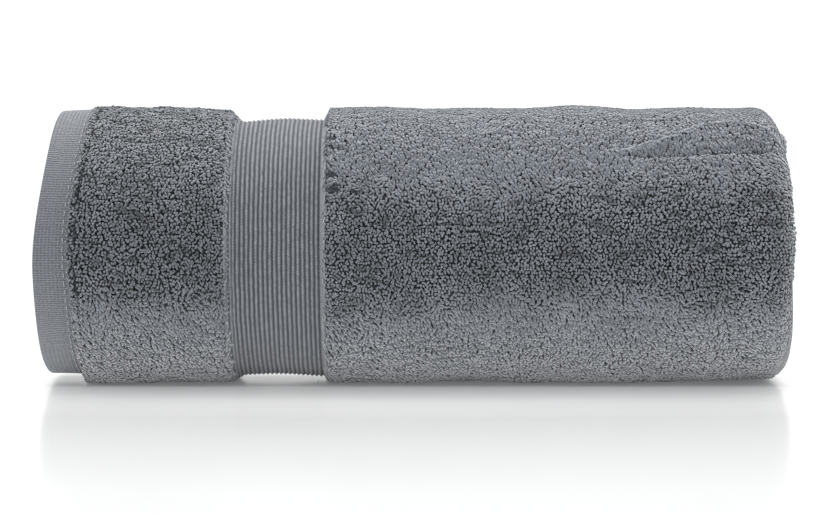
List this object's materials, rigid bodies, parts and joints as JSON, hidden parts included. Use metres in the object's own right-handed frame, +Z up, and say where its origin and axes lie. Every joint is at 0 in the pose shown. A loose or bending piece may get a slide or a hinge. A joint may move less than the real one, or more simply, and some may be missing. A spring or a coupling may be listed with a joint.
{
  "type": "rolled bath towel",
  "caption": "Terry bath towel folded lengthwise and rolled into a level cylinder, with a woven hem at one end and a ribbed border band.",
  "frame": {"origin": "middle of the footprint, on the surface that the roll lies on", "axes": "+X along the roll from the hems to the folds, +Z up; the side that shows in the picture faces -Y"},
  "size_m": [0.3568, 0.1338, 0.1338],
  "materials": {
    "grey_terry": "matt cotton terry with looped pile"
  },
  "bodies": {
    "root": {"rolled_towel": "grey_terry"}
  },
  "joints": []
}
